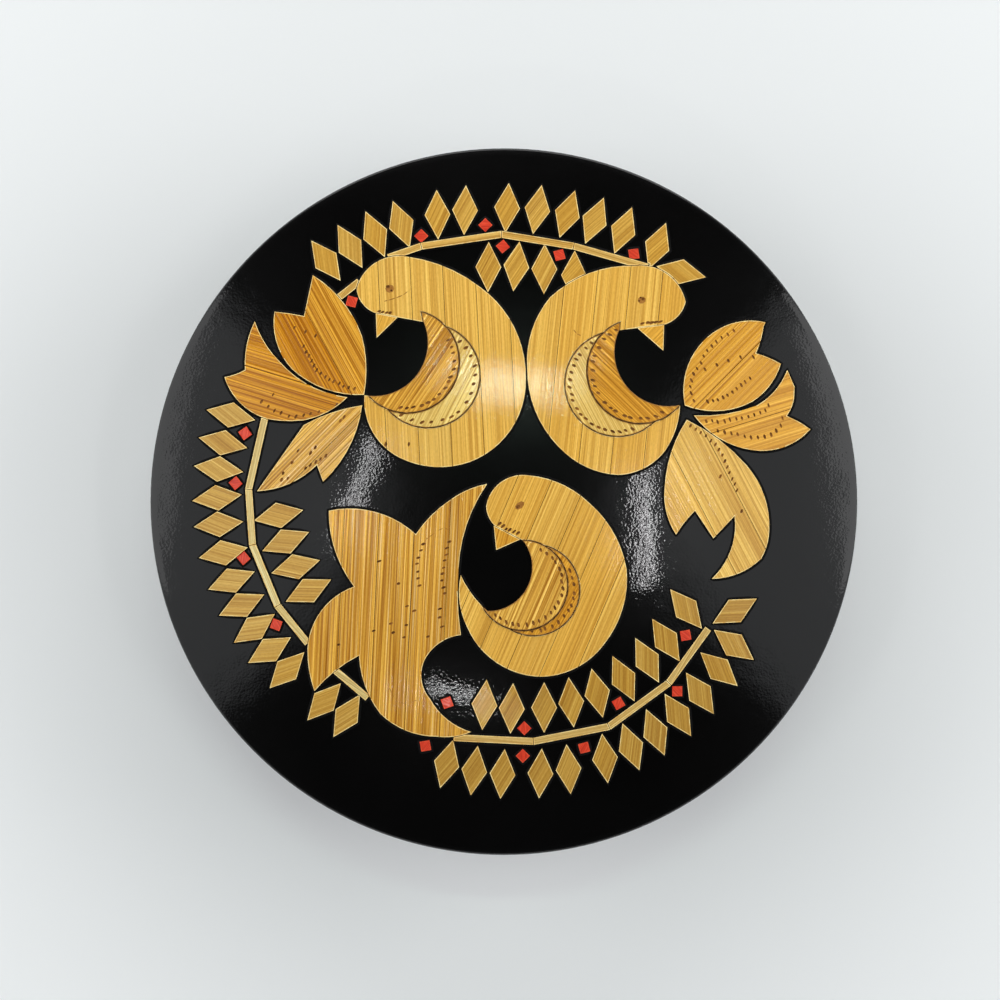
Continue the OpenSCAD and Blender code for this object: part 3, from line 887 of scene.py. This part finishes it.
def lone_marks(points, lean):
    """Marks at places in millimetres."""
    return [lone_mark(Vector(point) * MM, lean) for point in points]


def scratch(points):
    """A fine scratch along a line of points, in millimetres."""
    points = [Vector(point) * MM for point in points]
    marks = []
    for a, b in zip(points, points[1:]):
        turn = math.atan2(b.y - a.y, b.x - a.x)
        length = SCRATCH_OVERLAP * (b - a).length
        marks.append(burn_mark((a + b) / 2, length, SCRATCH_WIDTH * MM, turn, SCRATCH_DEPTH, SCORCH))
    return marks


def row_marks(points, count, lean):
    """Marks spaced evenly along a line of points, in millimetres."""
    points = [Vector(point) * MM for point in points]
    lengths = [(b - a).length for a, b in zip(points, points[1:])]
    marks = []
    for i in range(count):
        rest = sum(lengths) * i / max(1, count - 1)
        for a, b, length in zip(points, points[1:], lengths):
            if rest <= length + 1e-9:
                break
            rest -= length
        marks.append(lone_mark(a + (b - a) * min(1, rest / length), lean))
    return marks


def eye_marks(eye, length, width, turn, dots):
    """A bird's eye: a shallow scorched pit with deeper ones in it, in millimetres and degrees."""
    marks = [burn_mark(eye, length * MM, width * MM, math.radians(turn), EYE_DEPTH, SCORCH)]
    for x, y, size in dots:
        place = eye + Vector((x, y)) * MM
        marks.append(burn_mark(place, size * MM, EYE_DOT_WIDTH * size * MM, math.radians(turn)))
    return marks


# Birds and tails: directions in degrees, places in millimetres and shades from 0, dark, to 1, pale
BEAK_DARKER = 0.25
BIRDS = {
    "left": {
        "grain": 93, "upper_grain": 56, "lower_grain": 63, "beak_grain": 70, "eye": (-24, 44.8),
        "eye_shape": (2.1, 2.0, 0, [(-0.35, 0.4, 1.1), (0.3, -0.35, 0.8)]),
        "shade": 0.66, "upper_shade": 0.4, "lower_shade": 0.95,
        "upper_marks": wing_marks(-20.2, 29.4, 10.8, 27, -100, 15, 25),
        "lower_marks": wing_marks(-15.9, 26.4, 10.9, 49, -122, 15, 30),
        "body_marks": row_marks([(-26.2, 40.0), (-23.8, 39.7)], 4, 30)
        + lone_marks([(-19.9, 12.1), (-24.7, 12.1)], 80)
        # This scratch is a crease on the head, and its scorched brown is painted shade in the crease
        + scratch([(-25.2, 42.1), (-24.4, 42.3), (-22.7, 42.8), (-21.2, 43.4), (-20.2, 44.2)]),
    },
    "right": {
        "grain": 84, "upper_grain": 136, "lower_grain": 118, "beak_grain": 45, "eye": (29, 42.4),
        "eye_shape": (2.0, 1.7, 20, [(0.25, 0.2, 0.8), (-0.5, -0.15, 0.6), (-0.2, 0.5, 0.5)]),
        "shade": 0.56, "upper_shade": 0.26, "lower_shade": 0.9,
        "upper_marks": wing_marks(28.5, 27.4, 11, 120, 300, 19, 160),
        "lower_marks": wing_marks(23.8, 24.7, 11, 123, 290, 20, 150),
        "body_marks": row_marks([(29.2, 37.4), (33.0, 37.9)], 5, 20)
        + scratch([(14.6, 36.1), (15.3, 35.2), (16.2, 34.8)]),
    },
    "low": {
        "grain": 67, "upper_grain": 67, "lower_grain": 60, "beak_grain": 75, "eye": (3.3, -0.8),
        "eye_shape": (2.5, 1.5, 40, [(-0.3, -0.25, 1.2)]),
        "shade": 0.56, "upper_shade": 0.47, "lower_shade": 0.2,
        "upper_marks": wing_marks(3.9, -17.5, 9.4, 63, -134, 21, 110),
        "lower_marks": wing_marks(6.3, -18.5, 9.5, 27, -92, 13, 110),
        "body_marks": row_marks([(-0.9, -4.7), (0.6, -5.7), (2.9, -6.6)], 6, 40),
    },
}

for side, bird in BIRDS.items():
    eye = Vector(bird["eye"]) * MM
    straw_sheet(side + "_bird_body", bird["grain"], SHEET_TOP, FINE_RIB, GOLD, bird["shade"],
                ribbons=True, marks=bird["body_marks"] + eye_marks(eye, *bird["eye_shape"]), eye=eye)
    straw_sheet(side + "_bird_upper_wing", bird["upper_grain"], UPPER_WING_TOP, COARSE_RIB, UPPER_WING,
                bird["upper_shade"], marks=bird["upper_marks"])
    straw_sheet(side + "_bird_lower_wing", bird["lower_grain"], LOWER_WING_TOP, COARSE_RIB, LOWER_WING,
                bird["lower_shade"], marks=bird["lower_marks"])
    straw_sheet(side + "_bird_beak", bird["beak_grain"], SHEET_TOP, FINE_RIB, GOLD,
                bird["shade"] - BEAK_DARKER)

TAILS = {
    "left_tail_top_petal": {
        "grain": 119, "shade": (0.17, 0.0), "finish": AMBER,
        "marks": row_marks([(-42.1, 32.6), (-41.1, 30.6), (-39.6, 28), (-37.2, 25.9), (-34.2, 24.5),
                            (-31.4, 23.7)], 14, 60)
        + row_marks([(-44.1, 36.7), (-40.9, 35.5), (-39.7, 35)], 3, 60),
    },
    "left_tail_middle_petal": {
        "grain": 163, "shade": 0.08, "finish": AMBER,
        "marks": row_marks([(-51, 21.1), (-48.1, 19), (-44.3, 17.7), (-40.5, 18.4), (-38.9, 18.9)], 9, 60)
        + lone_marks([(-48.6, 22.5), (-35.1, 20.3)], 60),
    },
    "left_tail_low_petal": {
        "grain": 45, "shade": 0.58, "finish": RIDGED_PAINTED_GLINTS,
        "marks": lone_marks([(-34.3, 17.1), (-33.6, 17.7), (-40.5, 10.3), (-39.5, 11.5)], 60)
        + row_marks([(-37.3, 9.7), (-41.7, 7.1)], 5, 60)
        + lone_marks([(-43.2, 10.6), (-44.4, 8.3), (-46.3, 6), (-45.3, 5), (-46.8, 4.5)], 60),
    },
    "right_tail_top_petal": {
        "grain": 45, "shade": (0.22, 0.28), "finish": FAN,
        "marks": row_marks([(48.4, 36.1), (45.9, 34.6), (43, 32.3), (41.6, 29.6), (39.8, 27), (39.2, 24),
                            (39.8, 21.3)], 14, 120)
        + row_marks([(51.8, 25.9), (48.7, 23.6), (46, 21.7), (42.8, 21)], 10, 120)
        + row_marks([(52.6, 30.6), (49.1, 30.4), (42.3, 27.9)], 5, 120),
    },
    "right_tail_middle_petal": {
        "grain": 17, "shade": 0.32, "finish": FAN,
        "marks": row_marks([(42.4, 17), (45.6, 16.8), (50.9, 17.8), (55.1, 19.1), (55.9, 20.3)], 12, 110)
        + row_marks([(45, 14.8), (48.1, 14.4), (51.3, 13.5), (54.2, 13.5), (56.7, 14.2), (58.4, 16),
                     (58.7, 17.6)], 12, 110),
    },
    "right_tail_low_petal": {
        "grain": 118, "shade": 0.66, "finish": FAN,
        "marks": row_marks([(39.1, 16), (41.7, 14.3), (44.2, 12.3), (45.9, 9.9), (47.5, 6.1), (49, 2.4)],
                           14, 60)
        + lone_marks([(45.4, 5.2), (50.1, -2.1)], 60),
    },
    "low_bird_tail": {
        "grain": 87, "shade": 0.36, "finish": RIDGED_PAINTED_GLINTS,
        "marks": row_marks([(-11.5, -8.3), (-12.5, -12.9), (-12.9, -16.4), (-12.4, -19.3)], 9, 20)
        + row_marks([(-13.4, -22.4), (-13.8, -23.6), (-12.9, -26.1)], 3, 20)
        + row_marks([(-16.9, -8.8), (-18.2, -13), (-17.7, -17.5)], 7, 20)
        + lone_marks([(-20.2, -22), (-18.7, -22.9), (-20.4, -25.8), (-23.7, -25.5), (-23.3, -27.5),
                      (-27.2, -27.1), (-20.8, -28.5), (-16, -28.2), (-26.1, -12.5), (-22, -17.1),
                      (-34.8, -30.1)], 20)
        + scratch([(-17.1, -8.5), (-13.9, -6.1), (-12.6, -5.5), (-11.2, -5.9)])
        + scratch([(-24.7, -37.9), (-22.6, -42.1), (-20.3, -42.5), (-17.6, -41.4)]),
    },
}

for node, tail in TAILS.items():
    straw_sheet(node, tail["grain"], SHEET_TOP, COARSE_RIB, tail["finish"], tail["shade"],
                ribbons=True, marks=tail["marks"])

# A leaf's straw runs along one of its sides, which leans this far from its length
LEAF_LEAN = -math.radians(26.8)
RED_SHADE = 0.5

# Shades of each garland's leaves and stem and the finish of its leaves, the bottom's darker as painted
# shade
GARLANDS = {"top": (0.42, 0.6, LEAF), "left": (0.55, 1.0, LEAF), "bottom": (0.42, 0.75, SHADED_LOW_LEAF)}
for garland, (leaf_shade, stem_shade, leaf_finish) in GARLANDS.items():
    for row in ("outer", "inner"):
        straw_pieces(f"{garland}_{row}_leaves", SHEET_TOP, FINE_RIB, leaf_finish, leaf_shade,
                     LEAF_LEAN)
    straw_pieces(garland + "_stem", STEM_TOP, FINE_RIB, STEM, stem_shade)
    straw_pieces(garland + "_red_squares", STEM_TOP, FINE_RIB, RED, RED_SHADE)

bpy.data.objects.remove(rib_guide)


def lacquer_beads():
    """The lacquer that was brushed on last stands in a small fillet round every piece of straw."""
    beads = []
    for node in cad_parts:
        if node in ("lid", "box_body") or node.endswith("wing"):
            continue
        bead = outlines(node)
        edit(bead)
        select("FACE", bead, lambda face: abs(face.normal.z) > LIES_FLAT)
        bpy.ops.mesh.delete(type="ONLY_FACE")
        select("VERT", bead, lambda corner: corner.co.z - dome_height(corner.co.xy) > SHEET_TOP / 2)
        bpy.ops.transform.translate(value=(0, 0, BEAD_TOP - SHEET_TOP))
        bpy.ops.mesh.select_all(action="INVERT")
        bpy.ops.transform.shrink_fatten(value=BEAD_WIDTH)
        bpy.ops.transform.translate(value=(0, 0, -SUNK))
        leave_edit()
        beads.append(bead)
    piece = joined(beads)
    piece.name = "lacquer_beads"
    wear(piece, [dull_black])
    bpy.ops.object.shade_smooth_by_angle(angle=TURNING_SMOOTH)
    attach(piece, "lid")


lacquer_beads()


# Floor, light and camera

FLOOR_SIZE = 6
LAMP_DISTANCE = 1.5


def pale_floor():
    deselect_all()
    bpy.ops.mesh.primitive_plane_add(size=FLOOR_SIZE, location=(0, 0, 0))
    floor = bpy.context.object
    floor.name = "floor"
    material, nodes, _ = new_material("pale_floor")
    shader = nodes["Principled BSDF"]
    shader.inputs["Base Color"].default_value = (0.86, 0.87, 0.87, 1)
    shader.inputs["Roughness"].default_value = 0.7
    floor.data.materials.append(material)


def lamp(name, direction, size, power, turn=0, colour=WHITE):
    """A soft lamp that hangs in a direction from the lid, looks at it and is turned about that line."""
    data = bpy.data.lights.new(name, "AREA")
    data.shape = "RECTANGLE"
    data.size, data.size_y = size
    data.energy = power
    data.color = colour
    holder = bpy.data.objects.new(name, data)
    bpy.context.scene.collection.objects.link(holder)
    aim = Vector((0, 0, RIM_HEIGHT))
    holder.location = aim + Vector(direction).normalized() * LAMP_DISTANCE
    stance = (aim - holder.location).to_track_quat("-Z", "Y")
    holder.rotation_euler = (stance @ Quaternion((0, 0, 1), math.radians(turn))).to_euler()


pale_floor()

# Lamps: directions from the lid, sizes in metres, powers in watts and turns in degrees
lamp("left_lamp", (-0.295, 0.02, 0.955), (0.34, 0.024), 0.5, -17)
lamp("right_lamp", (0.28, -0.05, 0.957), (0.34, 0.024), 0.68, 10)
lamp("low_lamp", (-0.085, -0.384, 0.926), (0.22, 0.01), 0.34)
lamp("high_lamp", (0.012, 0.232, 0.97), (0.36, 0.03), 1.25, colour=(0.78, 1, 0.88))
lamp("left_panel", (-0.86, 0.16, 0.5), (1.0, 1.2), 4.2)
lamp("right_panel", (0.86, 0.16, 0.5), (1.0, 1.2), 5.8)
lamp("top_panel", (0, 0.88, 0.47), (1.6, 0.6), 8)

# The leaning walls: how far they lean in, how fast they narrow to the front and back,
# the colour of the ceiling between them, and how bright it all is
WALL_LEAN = 4.0
WALL_NARROWING = 1.8
CEILING = (0.008, 0.008, 0.008)
STUDIO_STRENGTH = 1.13


def calculate(nodes, links, operation, *values):
    node = nodes.new("ShaderNodeMath")
    node.operation = operation
    for socket, value in zip(node.inputs, values):
        if isinstance(value, bpy.types.NodeSocket):
            links.new(value, socket)
        else:
            socket.default_value = value
    return node.outputs["Value"]


def studio_walls():
    """Pale walls of light all round that lean in on the left and right, and a dark ceiling between them."""
    world = bpy.data.worlds.new("studio")
    bpy.context.scene.world = world
    world.use_nodes = True
    nodes, links = world.node_tree.nodes, world.node_tree.links
    place = nodes.new("ShaderNodeSeparateXYZ")
    links.new(nodes.new("ShaderNodeTexCoord").outputs["Generated"], place.inputs["Vector"])
    x, y, z = (place.outputs[axis] for axis in "XYZ")
    reach_x = calculate(nodes, links, "MULTIPLY", x, x)
    reach_y = calculate(nodes, links, "MULTIPLY", y, y)
    sideways = calculate(nodes, links, "MULTIPLY_ADD", reach_y, -WALL_NARROWING, reach_x)
    inwards = calculate(nodes, links, "MULTIPLY_ADD", sideways, -WALL_LEAN, z)
    walls = ramp(nodes, links, z, [(0.57, (0.96, 0.98, 1)), (0.7, CEILING)])
    leaning = ramp(nodes, links, inwards, [(0.5, (0.72, 0.74, 0.76)), (0.9, CEILING)])
    links.new(mix(nodes, links, "LIGHTEN", 1.0, walls, leaning), nodes["Background"].inputs["Color"])
    nodes["Background"].inputs["Strength"].default_value = STUDIO_STRENGTH


studio_walls()

# The camera looks straight down; its shift sets the lid where the photograph has it
CAMERA_HEIGHT = 0.75
SENSOR = 36.0
PICTURE = 1000
LID_RADIUS_PX = 353.58
LID_CENTRE_PX = (503.83, 501.66)
camera_data = bpy.data.cameras.new("camera")
camera = bpy.data.objects.new("camera", camera_data)
bpy.context.scene.collection.objects.link(camera)
camera.location = (0, 0, RIM_HEIGHT + CAMERA_HEIGHT)
camera_data.sensor_width = SENSOR
camera_data.lens = SENSOR * LID_RADIUS_PX / PICTURE * CAMERA_HEIGHT / LID_RADIUS
camera_data.shift_x = (PICTURE / 2 - LID_CENTRE_PX[0]) / PICTURE
camera_data.shift_y = (LID_CENTRE_PX[1] - PICTURE / 2) / PICTURE
camera_data.clip_start = 0.01
bpy.context.scene.camera = camera
bpy.context.scene.view_settings.view_transform = "Standard"
